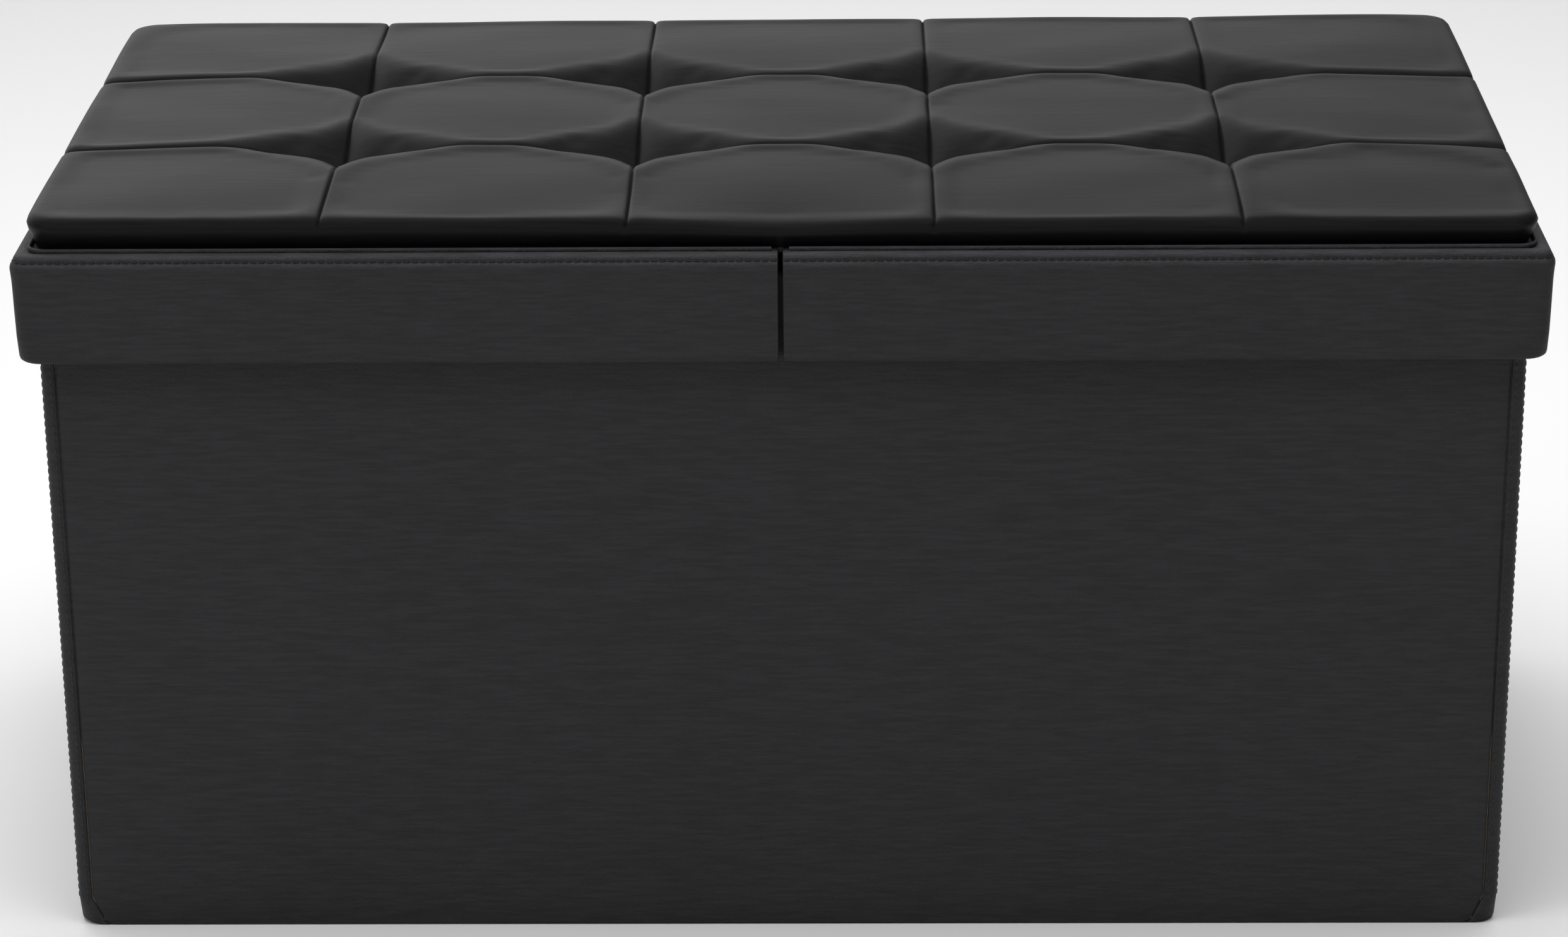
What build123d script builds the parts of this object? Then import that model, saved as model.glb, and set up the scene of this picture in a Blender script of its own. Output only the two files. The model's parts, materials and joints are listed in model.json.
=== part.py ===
from build123d import *
import os

# Storage ottoman: a box of fabric-jointed board walls, a loose base board and a padded lid
# in two halves that fold at the centre. Millimetres. The origin is on the floor under the
# centre of the box. X is the length, the front is at -Y and Z is up.

# ---------------------------------------------------------------- driving dimensions
lid_length = 762.0
lid_depth = 385.0
lid_top_z = 370.5  # top of the lid boards, where the pad starts
skirt_height = 55.5
pad_height = 21.0  # from the lid boards to the top of the cover

box_length = 743.0
box_depth = 368.0

cover_t = 1.2  # faux leather
lining_t = 0.8  # non-woven fabric
wall_board_t = 8.0
lid_board_t = 12.0
skirt_board_t = 5.0
base_board_t = 6.0
base_wrap_t = 0.6
wrap_margin = 30.0  # how far the wrap is folded under the base board

# ---------------------------------------------------------------- joints and clearances
lift_gap = 0.3  # between pieces that part when the lid or the base board lifts
slit = 2.4  # between the skirts of the two lid halves
board_gap = 4.0  # between the two lid boards
crease_gap = 4.0  # between the two boards of a side wall
hinge_bead_r = 1.7
notch_foot = 2.5  # where each pad starts beside the hinge line
notch_clear = 0.45  # between a pad and the foam at the fold
base_clear = 2.0  # round the base board
side_board_gap = 1.0  # between a side board and the corner of the room
hinge_clear = 0.2  # between the hinge tape and the foam at the fold

# ---------------------------------------------------------------- worked out from these
lid_x = lid_length / 2
lid_y = lid_depth / 2
box_x = box_length / 2
box_y = box_depth / 2
wall_t = cover_t + wall_board_t + lining_t
room_x = box_x - wall_t
room_y = box_y - wall_t
lid_under_z = lid_top_z - lid_board_t
wall_top_z = lid_under_z - lining_t - lift_gap
skirt_foot_z = lid_top_z - skirt_height
skirt_in_x = lid_x - cover_t - skirt_board_t
skirt_in_y = lid_y - cover_t - skirt_board_t

corner_band = 7.5  # width of the stitched band at each vertical corner
corner_r = 5.0
skirt_roll_r = 6.0  # rounding of the skirt's top edge
skirt_board_foot = 6.0  # bevel of the lower corners of the end skirt board
rim_ease = 0.98  # keeps the top rounding just inside the corner rounding
pad_inset = 8.5  # from the lid's outer face to the pad's side
welt_width = 2.5
welt_height = 1.8
welt_edge_r = 0.8
pad_edge_r = 12.0
pad_corner_r = 14.0
foot_r = 10.0  # rounding of the lower corners of the long wall boards

wing_width = 25.0
wing_t = 0.6
hinge_length = 360.0

# tufts: two rows, at the crossings of the quilting seams
tuft_x = (0.1 * lid_length, 0.3 * lid_length)
tuft_y = (-lid_depth / 6, lid_depth / 6)
twine_r = 1.0
twine_hole_r = 1.5
twine_top_z = 374.0
washer_r = 7.0
washer_t = 1.2

staple_crown = 10.0
staple_wire = 0.6
staple_leg = 5.0
staple_inset = 18.0  # from the inner face of the box walls
staple_pitch = 48.0
end_staples = 3  # in the end row, on each side of its middle one

tab_width = 25.0
tab_t = 1.0
tab_sewn = 12.0
tab_free = 42.0
tab_root_y = -138.0
tab_corner_r = 6.0
tab_hinge_gap = 0.6
tab_lift = 0.1  # keeps the free end clear of the board as it turns

UPRIGHT = (Align.CENTER, Align.CENTER, Align.MIN)  # stands on its location

os.makedirs("parts", exist_ok=True)


def write(part, label):
    part.label = label
    export_step(part, f"parts/{label}.step")


def block(x, y, z, mode=Mode.ADD):
    """A straight block between two values on each axis, in either order."""
    size = [abs(b - a) for a, b in (x, y, z)]
    middle = tuple((a + b) / 2 for a, b in (x, y, z))
    with Locations(middle):
        Box(*size, mode=mode)


# ================================================================ storage box
def long_wall(name, side):
    """Front (side -1) or back (side 1) wall: board, cover and lining."""
    outer, inner = side * box_y, side * room_y
    board_out = side * (box_y - cover_t)
    board_in = side * (room_y + lining_t)
    band_x = box_x - corner_band

    with BuildPart() as board:
        block((-band_x, band_x), (board_out, board_in), (cover_t, wall_top_z - cover_t))
        fillet(board.edges().filter_by(Axis.Y).sort_by(Axis.Z)[:2], foot_r)
    write(board.part, f"{name}_wall_board")

    with BuildPart() as cover:
        block((-band_x, band_x), (outer, inner), (0, wall_top_z))
        block(
            (-band_x, band_x), (board_out, inner), (cover_t, wall_top_z - cover_t), Mode.SUBTRACT
        )
    write(cover.part, f"{name}_wall_cover")

    with BuildPart() as lining:
        block((-room_x, room_x), (board_in, inner), (cover_t, wall_top_z - cover_t))
    write(lining.part, f"{name}_wall_lining")


def side_wall(name, side):
    """Left (side -1) or right (side 1) wall: two boards with a crease between them."""
    outer, inner = side * box_x, side * room_x
    board_out = side * (box_x - cover_t)
    board_in = side * (room_x + lining_t)
    board_end = room_y - side_board_gap
    band_y = box_y - corner_band

    for half, end in (("front", -1), ("rear", 1)):
        with BuildPart() as board:
            block(
                (board_out, board_in),
                (end * crease_gap / 2, end * board_end),
                (cover_t, wall_top_z - cover_t),
            )
        write(board.part, f"{name}_wall_{half}_board")

    with BuildPart() as cover:
        block((outer, board_out), (-band_y, band_y), (0, wall_top_z))
        for z in ((0, cover_t), (wall_top_z - cover_t, wall_top_z)):
            block((board_out, inner), (-room_y, room_y), z)
    write(cover.part, f"{name}_wall_cover")

    with BuildPart() as lining:
        block((board_in, inner), (-room_y, room_y), (cover_t, wall_top_z - cover_t))
    write(lining.part, f"{name}_wall_lining")


def corner_strip(name, side_x, side_y):
    """The sewn fabric corner: an angle of cover with a rounded outer edge."""
    middle = (side_x * (box_x - corner_band / 2), side_y * (box_y - corner_band / 2))
    hollow = (middle[0] - side_x * cover_t, middle[1] - side_y * cover_t)
    outward = Axis((0, 0, 0), (side_x, side_y, 0))
    with BuildPart() as strip:
        with BuildSketch(Plane.XY):
            with Locations(middle):
                Rectangle(corner_band, corner_band)
            fillet(vertices().sort_by(outward)[-1], corner_r)
        extrude(amount=wall_top_z)
        with BuildSketch(Plane.XY):
            with Locations(hollow):
                Rectangle(corner_band, corner_band)
            fillet(vertices().sort_by(outward)[-1], corner_r - cover_t)
        extrude(amount=wall_top_z, mode=Mode.SUBTRACT)
    write(strip.part, name)


long_wall("front", -1)
long_wall("back", 1)
side_wall("left", -1)
side_wall("right", 1)
for end_name, end_side in (("front", -1), ("back", 1)):
    for hand_name, hand_side in (("left", -1), ("right", 1)):
        corner_strip(f"{end_name}_{hand_name}_corner_strip", hand_side, end_side)

with BuildPart() as bottom:
    block((-room_x, room_x), (-room_y, room_y), (0, lining_t))
write(bottom.part, "bottom_fabric")

# ================================================================ loose base board
base_x = room_x - base_clear
base_y = room_y - base_clear
base_z = lining_t + lift_gap
base_core_z = (base_z + base_wrap_t, base_z + base_wrap_t + base_board_t)
base_top_z = base_core_z[1] + base_wrap_t

with BuildPart() as base_board:
    core_x, core_y = base_x - base_wrap_t, base_y - base_wrap_t
    block((-core_x, core_x), (-core_y, core_y), base_core_z)
write(base_board.part, "base_board")

with BuildPart() as base_wrap:
    open_x, open_y = base_x - wrap_margin, base_y - wrap_margin
    block((-base_x, base_x), (-base_y, base_y), (base_z, base_top_z))
    block((-core_x, core_x), (-core_y, core_y), base_core_z, Mode.SUBTRACT)
    block((-open_x, open_x), (-open_y, open_y), (base_z, base_core_z[0]), Mode.SUBTRACT)
write(base_wrap.part, "base_board_wrap")

with BuildPart() as tab_end:
    sewn_y = tab_root_y - tab_hinge_gap
    block((-tab_width / 2, tab_width / 2), (sewn_y - tab_sewn, sewn_y), (base_top_z, base_top_z + tab_t))
write(tab_end.part, "pull_tab_sewn_end")

with BuildPart() as tab:
    tab_z = base_top_z + tab_lift
    block((-tab_width / 2, tab_width / 2), (tab_root_y, tab_root_y + tab_free), (tab_z, tab_z + tab_t))
    fillet(tab.edges().filter_by(Axis.Z).sort_by(Axis.Y)[-2:], tab_corner_r)
    with Locations((0, tab_root_y, tab_z + tab_t / 2)):
        Cylinder(tab_t / 2, tab_width, rotation=(0, 90, 0))
write(tab.part, "pull_tab")


# ================================================================ lid
def pad_solid(foot, inset):
    """One half of the pad, right-hand side: a rounded slab whose inner face slopes at 45
    degrees away from the hinge line, so that the two halves can be folded together."""
    far_x, far_y = lid_x - inset, lid_y - inset
    depth = inset - pad_inset
    top_z = lid_top_z + pad_height - depth
    with BuildPart() as pad:
        with BuildSketch(Plane.XZ.offset(-far_y)):
            with BuildLine():
                Polyline(
                    (foot, lid_top_z),
                    (far_x, lid_top_z),
                    (far_x, top_z),
                    (foot + top_z - lid_top_z, top_z),
                    close=True,
                )
            make_face()
        extrude(amount=2 * far_y)
        fillet(pad.edges().filter_by(Axis.Z), pad_corner_r - depth)
        rim = pad.faces().sort_by(Axis.Z)[-1].edges()
        slope_edge = rim.sort_by(Axis.X)[0]
        fillet([edge for edge in rim if edge != slope_edge], pad_edge_r - depth)
    return pad.part


def fold_solid(inset, foot_z):
    """The foam at the fold: a wedge that fills the space between the two pads."""
    far_y = lid_y - inset
    depth = inset - pad_inset
    top_z = lid_top_z + pad_height - depth
    foot = notch_foot - notch_clear + foot_z - lid_top_z
    head = notch_foot - notch_clear + top_z - lid_top_z
    with BuildPart() as wedge:
        with BuildSketch(Plane.XZ.offset(-far_y)):
            with BuildLine():
                Polyline((-foot, foot_z), (foot, foot_z), (head, top_z), (-head, top_z), close=True)
            make_face()
        extrude(amount=2 * far_y)
        fillet(wedge.faces().sort_by(Axis.Z)[-1].edges().filter_by(Axis.X), pad_edge_r - depth)
    return wedge.part


def staple_places():
    """Centres and turns of the staples of the right-hand half."""
    end_x = room_x - staple_inset
    row_y = room_y - staple_inset
    places = []
    for row in (-row_y, row_y):
        count = int(end_x // staple_pitch)
        places += [(staple_pitch * (i + 0.5), row, 0) for i in range(count)]
    for i in range(-end_staples, end_staples + 1):
        places.append((end_x, staple_pitch * i, 90))
    return places


def staples():
    """All staples of the right-hand half."""
    crown_z = lid_under_z - lining_t - staple_wire / 2
    leg_z = lid_under_z - lining_t + staple_leg / 2
    with BuildPart() as group:
        for x, y, turn in staple_places():
            with Locations(Location((x, y, crown_z), (0, 0, turn))):
                Box(staple_crown, staple_wire, staple_wire)
            with Locations(Location((x, y, leg_z), (0, 0, turn))):
                with GridLocations(staple_crown - staple_wire, 1, 2, 1):
                    Box(staple_wire, staple_wire, staple_leg)
    return group.part


def round_over(builder, radius):
    """Rounds the far corners and the far top edges of a block that stands at the lid's end."""
    fillet(builder.edges().filter_by(Axis.Z).sort_by(Axis.X)[-2:], radius)
    rim = builder.faces().sort_by(Axis.Z)[-1].edges()
    fillet([edge for edge in rim if edge != rim.sort_by(Axis.X)[0]], radius * rim_ease)


def lid_half(hand, side):
    """All pieces of one half. They are modelled on the right and mirrored for the left."""

    def finish(part, label):
        write(part if side > 0 else mirror(part, about=Plane.YZ), f"{hand}_{label}")

    staple_group = staples()

    with BuildPart() as board:
        block((board_gap / 2, skirt_in_x), (-skirt_in_y, skirt_in_y), (lid_under_z, lid_top_z))
        for x in tuft_x:
            for y in tuft_y:
                with Locations((x, y, lid_under_z)):
                    Cylinder(twine_hole_r, lid_board_t, align=UPRIGHT, mode=Mode.SUBTRACT)
                    Cylinder(washer_r, washer_t, align=UPRIGHT, mode=Mode.SUBTRACT)
        add(staple_group, mode=Mode.SUBTRACT)
    finish(board.part, "lid_board")

    with BuildPart() as lining:
        block(
            (board_gap / 2, skirt_in_x - lining_t),
            (-skirt_in_y + lining_t, skirt_in_y - lining_t),
            (lid_under_z - lining_t, lid_under_z),
        )
        add(staple_group, mode=Mode.SUBTRACT)
    finish(lining.part, "lid_underside_lining")

    finish(staple_group, "lid_staples")

    skirt_board_z = (skirt_foot_z + cover_t, lid_top_z)
    skirt_board_end = slit / 2 + cover_t
    board_roll_r = skirt_roll_r - cover_t
    skirt_boards = []
    for name, end in (("front", -1), ("back", 1)):
        with BuildPart() as skirt_board:
            block(
                (skirt_board_end, skirt_in_x),
                (end * skirt_in_y, end * (lid_y - cover_t)),
                skirt_board_z,
            )
            outward = Axis((0, 0, 0), (0, end, 1))
            fillet(skirt_board.edges().filter_by(Axis.X).sort_by(outward)[-1], board_roll_r)
        finish(skirt_board.part, f"{name}_skirt_board")
        skirt_boards.append(skirt_board.part)

    with BuildPart() as end_board:
        block((skirt_in_x, lid_x - cover_t), (-lid_y + cover_t, lid_y - cover_t), skirt_board_z)
        chamfer(end_board.edges().filter_by(Axis.X).sort_by(Axis.Z)[:2], skirt_board_foot)
        round_over(end_board, board_roll_r)
    finish(end_board.part, "end_skirt_board")

    with BuildPart() as skirt_cover:
        block((slit / 2, lid_x), (-lid_y, lid_y), (skirt_foot_z, lid_top_z))
        round_over(skirt_cover, skirt_roll_r)
        room = (skirt_in_x - lining_t, skirt_in_y - lining_t)
        block((0, room[0]), (-room[1], room[1]), (skirt_foot_z, lid_top_z), Mode.SUBTRACT)
        block(
            (0, skirt_in_x),
            (-skirt_in_y, skirt_in_y),
            (lid_under_z - lining_t, lid_top_z),
            Mode.SUBTRACT,
        )
        for skirt_board in skirt_boards:
            add(skirt_board, mode=Mode.SUBTRACT)
        add(end_board.part, mode=Mode.SUBTRACT)
    finish(skirt_cover.part, "skirt_cover")

    with BuildPart() as welt:
        welt_x, welt_y = lid_x - skirt_roll_r, lid_y - skirt_roll_r
        welt_end = notch_foot + welt_height  # leaves room for the other half as it folds
        block((welt_end, welt_x), (-welt_y, welt_y), (lid_top_z, lid_top_z + welt_height))
        block(
            (0, welt_x - welt_width),
            (-welt_y + welt_width, welt_y - welt_width),
            (lid_top_z, lid_top_z + welt_height),
            Mode.SUBTRACT,
        )
        fillet(welt.faces().sort_by(Axis.Z)[-1].edges().filter_by(Axis.X), welt_edge_r)
    finish(welt.part, "edge_welt")

    cover_solid = pad_solid(notch_foot, pad_inset)
    foam_solid = pad_solid(notch_foot, pad_inset + cover_t)

    with BuildPart() as top_cover:
        add(cover_solid)
        add(foam_solid, mode=Mode.SUBTRACT)
    finish(top_cover.part, "top_cover")

    with BuildPart() as foam:
        add(foam_solid)
        block(
            (0, board_gap / 2 + wing_width),
            (-hinge_length / 2, hinge_length / 2),
            (lid_top_z, lid_top_z + wing_t),
            Mode.SUBTRACT,
        )
        for x in tuft_x:
            for y in tuft_y:
                with Locations((x, y, lid_top_z)):
                    Cylinder(
                        twine_hole_r, twine_top_z - lid_top_z, align=UPRIGHT, mode=Mode.SUBTRACT
                    )
    finish(foam.part, "foam_pad")

    with BuildPart() as wing:
        block(
            (board_gap / 2, board_gap / 2 + wing_width),
            (-hinge_length / 2, hinge_length / 2),
            (lid_top_z, lid_top_z + wing_t),
        )
    finish(wing.part, "hinge_tape_wing")

    with BuildPart() as washers:
        for x in tuft_x:
            for y in tuft_y:
                with Locations((x, y, lid_under_z)):
                    Cylinder(washer_r, washer_t, align=UPRIGHT)
    finish(washers.part, "tuft_washers")

    with BuildPart() as twine:
        for x in tuft_x:
            for y in tuft_y:
                with Locations((x, y, lid_under_z + washer_t)):
                    Cylinder(twine_r, twine_top_z - lid_under_z - washer_t, align=UPRIGHT)
    finish(twine.part, "tuft_twine")


lid_half("left", -1)
lid_half("right", 1)

with BuildPart() as hinge_tape:
    with BuildSketch(Plane.XZ.offset(-hinge_length / 2)):
        with Locations((0, lid_top_z)):
            Circle(hinge_bead_r)
    extrude(amount=hinge_length)
write(hinge_tape.part, "hinge_tape")

fold_foot_z = lid_top_z + hinge_bead_r + hinge_clear
fold_foam_solid = fold_solid(pad_inset + cover_t, fold_foot_z)
with BuildPart() as fold_foam:
    add(fold_foam_solid)
write(fold_foam.part, "fold_foam")

with BuildPart() as fold_cover:
    add(fold_solid(pad_inset, fold_foot_z))
    add(fold_foam_solid, mode=Mode.SUBTRACT)
write(fold_cover.part, "fold_cover")
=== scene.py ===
"""Looks of a tufted storage bench whose lid folds at the centre.

The file is laid out as an add-on and run as a script. Everything is in metres, in the frame
of the loaded model: X is the length, the front is at -Y and the floor is at Z = 0.
"""

import json
import math

import bmesh
import bpy
import numpy as np
from mathutils import Matrix, Vector


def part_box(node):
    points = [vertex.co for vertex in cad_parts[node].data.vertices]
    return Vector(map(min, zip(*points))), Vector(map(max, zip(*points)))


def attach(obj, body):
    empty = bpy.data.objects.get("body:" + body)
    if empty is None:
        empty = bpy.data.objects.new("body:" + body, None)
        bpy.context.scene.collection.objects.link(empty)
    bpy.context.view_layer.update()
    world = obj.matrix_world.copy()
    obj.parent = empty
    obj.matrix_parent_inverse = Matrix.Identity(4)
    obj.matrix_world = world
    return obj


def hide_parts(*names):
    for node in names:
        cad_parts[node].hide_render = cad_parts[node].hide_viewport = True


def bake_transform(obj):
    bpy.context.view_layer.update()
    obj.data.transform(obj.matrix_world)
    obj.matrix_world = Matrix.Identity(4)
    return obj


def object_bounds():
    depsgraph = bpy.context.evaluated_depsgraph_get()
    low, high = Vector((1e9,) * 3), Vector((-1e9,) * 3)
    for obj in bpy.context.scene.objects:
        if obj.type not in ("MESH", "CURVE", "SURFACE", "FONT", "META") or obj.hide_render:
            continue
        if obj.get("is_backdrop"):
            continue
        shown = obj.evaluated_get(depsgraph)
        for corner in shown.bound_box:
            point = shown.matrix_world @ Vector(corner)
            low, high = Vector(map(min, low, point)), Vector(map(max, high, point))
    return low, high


bl_info = {
    "name": "Storage Bench Looks",
    "version": (1, 0, 0),
    "blender": (4, 5, 0),
    "location": "View3D > Sidebar > Bench",
    "description": "Leather covers, quilted lid, stitching and stage for a folding storage bench",
    "category": "Object",
}

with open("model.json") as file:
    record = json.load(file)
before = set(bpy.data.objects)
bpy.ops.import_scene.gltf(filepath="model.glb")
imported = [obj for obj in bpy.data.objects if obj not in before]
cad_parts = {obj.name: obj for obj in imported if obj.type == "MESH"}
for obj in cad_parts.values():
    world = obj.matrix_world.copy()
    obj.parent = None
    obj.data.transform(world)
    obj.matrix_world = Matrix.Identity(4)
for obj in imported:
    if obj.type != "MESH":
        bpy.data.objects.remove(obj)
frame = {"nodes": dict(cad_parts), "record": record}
cad_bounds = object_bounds()

MM = 0.001
HANDS = {"left": -1.0, "right": 1.0}
ENDS = {"front": -1.0, "back": 1.0}

# places read from the frame
skirt_low, skirt_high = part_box("right_skirt_cover")
pad_low, pad_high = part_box("right_top_cover")
wall_low, wall_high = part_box("right_wall_cover")
front_low, front_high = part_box("front_wall_cover")
LID_X, LID_Y, LID_TOP = skirt_high.x, skirt_high.y, skirt_high.z
SLIT_HALF = skirt_low.x
SKIRT_DROP = skirt_high.z - skirt_low.z
PAD_X, PAD_Y = pad_high.x, pad_high.y
BOX_X, BOX_Y = wall_high.x, -front_low.y
WALL_TOP, WALL_THICK = wall_high.z, wall_high.x - wall_low.x
BAND = BOX_X - front_high.x
PAD_FOOT = 0.6 * MM


# ------------------------------------------------------------------ settings
class BenchLidSizes(bpy.types.PropertyGroup):
    crown: bpy.props.FloatProperty(
        name="Crown",
        description="Pad height over the lid board at its middle",
        default=21.3 * MM,
        unit="LENGTH",
    )
    rim_fall: bpy.props.FloatProperty(
        name="Rim fall",
        description="How far the pad has dropped at its rim",
        default=3.4 * MM,
        unit="LENGTH",
    )
    tuft_drop: bpy.props.FloatProperty(
        name="Tuft drop",
        description="How far each tuft is pulled under the crown",
        default=16.4 * MM,
        unit="LENGTH",
    )
    long_seam_drop: bpy.props.FloatProperty(
        name="Long seam drop",
        description="How far the lengthwise seams lie under the panels between tufts",
        default=2.6 * MM,
        unit="LENGTH",
    )
    cross_seam_drop: bpy.props.FloatProperty(
        name="Cross seam drop",
        description="How far the cross seams lie under the panels between tufts",
        default=1.1 * MM,
        unit="LENGTH",
    )
    edge_radius: bpy.props.FloatProperty(
        name="Edge radius", description="Rounding of the pad's rim", default=5.0 * MM, unit="LENGTH"
    )
    corner_radius: bpy.props.FloatProperty(
        name="Corner radius",
        description="Rounding of the pad in plan",
        default=15.0 * MM,
        unit="LENGTH",
    )
    side_lean: bpy.props.FloatProperty(
        name="Side lean",
        description="How far the pad's side leans in towards its foot",
        default=math.radians(20),
        subtype="ANGLE",
    )
    end_bulge: bpy.props.FloatProperty(
        name="End bulge",
        description="How far the pad's ends swell past its board",
        default=2.6 * MM,
        unit="LENGTH",
    )
    fold_dip: bpy.props.FloatProperty(
        name="Fold dip",
        description="How far the pad's edge sinks where the lid folds",
        default=4.5 * MM,
        unit="LENGTH",
    )
    skirt_foot_radius: bpy.props.FloatProperty(
        name="Skirt corner",
        description="Rounding of its lower corners",
        default=9.5 * MM,
        unit="LENGTH",
    )


class BenchBoxSizes(bpy.types.PropertyGroup):
    corner_radius: bpy.props.FloatProperty(
        name="Corner radius",
        description="Rounding of the upright corners",
        default=5.0 * MM,
        unit="LENGTH",
    )
    foot_radius: bpy.props.FloatProperty(
        name="Foot radius",
        description="Rounding of the lower corners",
        default=14.0 * MM,
        unit="LENGTH",
    )
    stitch_pitch: bpy.props.FloatProperty(
        name="Stitch pitch", description="From one stitch to the next", default=4.2 * MM, unit="LENGTH"
    )
    thread_radius: bpy.props.FloatProperty(
        name="Thread radius",
        description="Radius of the sewing thread",
        default=0.42 * MM,
        unit="LENGTH",
    )


class BenchFinishes(bpy.types.PropertyGroup):
    leather: bpy.props.FloatVectorProperty(
        name="Leather", description="Faux leather", subtype="COLOR", default=(0.0056, 0.0056, 0.006)
    )
    thread: bpy.props.FloatVectorProperty(
        name="Thread", description="Sewing thread", subtype="COLOR", default=(0.007, 0.007, 0.0075)
    )
    lining: bpy.props.FloatVectorProperty(
        name="Lining", description="Non-woven lining", subtype="COLOR", default=(0.018, 0.018, 0.02)
    )
    board: bpy.props.FloatVectorProperty(
        name="Board", description="Fibre board", subtype="COLOR", default=(0.36, 0.25, 0.15)
    )
    webbing: bpy.props.FloatVectorProperty(
        name="Webbing", description="Ribbon and tape", subtype="COLOR", default=(0.02, 0.02, 0.022)
    )
    steel: bpy.props.FloatVectorProperty(
        name="Steel", description="Staples", subtype="COLOR", default=(0.56, 0.56, 0.58)
    )
    plastic: bpy.props.FloatVectorProperty(
        name="Washer", description="Tuft washers", subtype="COLOR", default=(0.6, 0.59, 0.55)
    )


# ------------------------------------------------------------------ shader expressions
class Value:
    """A socket in a node tree that takes part in sums. Each operator adds one Math node."""

    def __init__(self, finish, socket):
        self.finish, self.socket = finish, socket

    def _math(self, operation, first, second=0.0):
        return self.finish.add(
            "ShaderNodeMath", {"operation": operation}, {0: first, 1: second}
        ).value()

    def __add__(self, other):
        return self._math("ADD", self, other)

    __radd__ = __add__

    def __sub__(self, other):
        return self._math("SUBTRACT", self, other)

    def __rsub__(self, other):
        return self._math("SUBTRACT", other, self)

    def __mul__(self, other):
        return self._math("MULTIPLY", self, other)

    __rmul__ = __mul__


class Node:
    """A node just made, which hands out its outputs as values."""

    def __init__(self, finish, node):
        self.finish, self.node = finish, node

    def value(self, output=0):
        return Value(self.finish, self.node.outputs[output])


class Finish:
    """A material and the one method that adds nodes to it."""

    def __init__(self, name):
        self.material = bpy.data.materials.new(name)
        self.material.use_nodes = True
        self.tree = self.material.node_tree
        self.shader = self.tree.nodes["Principled BSDF"]
        self.place = self.add("ShaderNodeTexCoord").value("Object")

    def add(self, kind, settings=None, inputs=None):
        node = self.tree.nodes.new(kind)
        for name, value in (settings or {}).items():
            setattr(node, name, value)
        for name, value in (inputs or {}).items():
            self.join(node.inputs[name], value)
        return Node(self, node)

    def join(self, socket, value):
        if isinstance(value, Value):
            self.tree.links.new(value.socket, socket)
        else:
            socket.default_value = value

    def feed(self, **sockets):
        for name, value in sockets.items():
            self.join(self.shader.inputs[name.replace("_", " ")], value)

    def scaled(self, x, y, z):
        return self.add("ShaderNodeMapping", None, {"Vector": self.place, "Scale": (x, y, z)}).value()

    def noise(self, scale, detail=3.0, roughness=0.5, place=None):
        return self.add(
            "ShaderNodeTexNoise",
            None,
            {"Vector": place or self.place, "Scale": scale, "Detail": detail, "Roughness": roughness},
        ).value("Fac")

    def cells(self, scale, smoothness=None):
        """How far a place is from the middle of its cell, softened where a smoothness is given."""
        inputs = {"Vector": self.place, "Scale": scale}
        if smoothness is not None:
            inputs["Smoothness"] = smoothness
        feature = "F1" if smoothness is None else "SMOOTH_F1"
        return self.add("ShaderNodeTexVoronoi", {"feature": feature}, inputs).value("Distance")

    def shades(self, factor, colour, low, high):
        """A colour between two tones of one, each a multiple of it."""
        mix = self.add("ShaderNodeMix", {"data_type": "RGBA"}, {0: factor})
        for socket, tone in ((6, low), (7, high)):
            mix.node.inputs[socket].default_value = (*(min(1.0, c * tone) for c in colour), 1.0)
        return mix.value(2)

    def span(self, value, low, high):
        """Maps low..high to 0..1."""
        return self.add(
            "ShaderNodeMapRange", {"clamp": True}, {"Value": value, "From Min": low, "From Max": high}
        ).value()

    def relief(self, height, depth, strength=1.0):
        """Feeds a bump of that depth, in metres, to the shader."""
        bump = self.add(
            "ShaderNodeBump", None, {"Height": height, "Distance": depth, "Strength": strength}
        )
        self.feed(Normal=bump.value())


def leather_finish(colours):
    """Smooth faux leather pulled over the pad: fine pores and long faint streaks."""
    made = Finish("smooth_leather")
    pores = made.noise(1500.0, 3.0)
    streaks = made.noise(1.0, 5.0, 0.62, made.scaled(30.0, 380.0, 380.0))
    clouds = made.noise(9.0, 3.0)
    mottle = made.span(streaks, 0.36, 0.66) * 0.55 + clouds * 0.45
    made.feed(
        Base_Color=made.shades(mottle, colours.leather, 0.7, 1.3),
        Roughness=0.33 + streaks * 0.1 + clouds * 0.08,
    )
    made.shader.inputs["Specular IOR Level"].default_value = 0.1
    made.relief(pores * 0.35 + streaks * 0.65, 0.12 * MM, 0.8)
    return made.material


def grained_finish(colours):
    """Embossed faux leather of the walls and skirts: pebbles with fine creases between them."""
    made = Finish("grained_leather")
    pebbles = made.span(made.cells(560.0, 0.3), 0.05, 0.6)
    creases = made.noise(1.0, 5.0, 0.65, made.scaled(48.0, 300.0, 520.0))
    clouds = made.noise(6.0, 3.0)
    wear = made.span(creases, 0.4, 0.62)
    made.feed(
        Base_Color=made.shades(wear * 0.6 + clouds * 0.4, colours.leather, 3.6, 6.2),
        Roughness=0.5 + wear * 0.1 + clouds * 0.08,
    )
    made.shader.inputs["Specular IOR Level"].default_value = 0.13
    made.relief(pebbles * 0.5 + creases * 0.9, 0.42 * MM, 0.75)
    return made.material


def thread_finish(colours):
    """Twisted polyester thread."""
    made = Finish("sewing_thread")
    twist = made.noise(2600.0, 1.0)
    made.feed(
        Base_Color=made.shades(twist, colours.thread, 0.6, 1.8),
        Roughness=0.42 + twist * 0.2,
    )
    made.relief(twist, 0.15 * MM)
    return made.material


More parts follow.
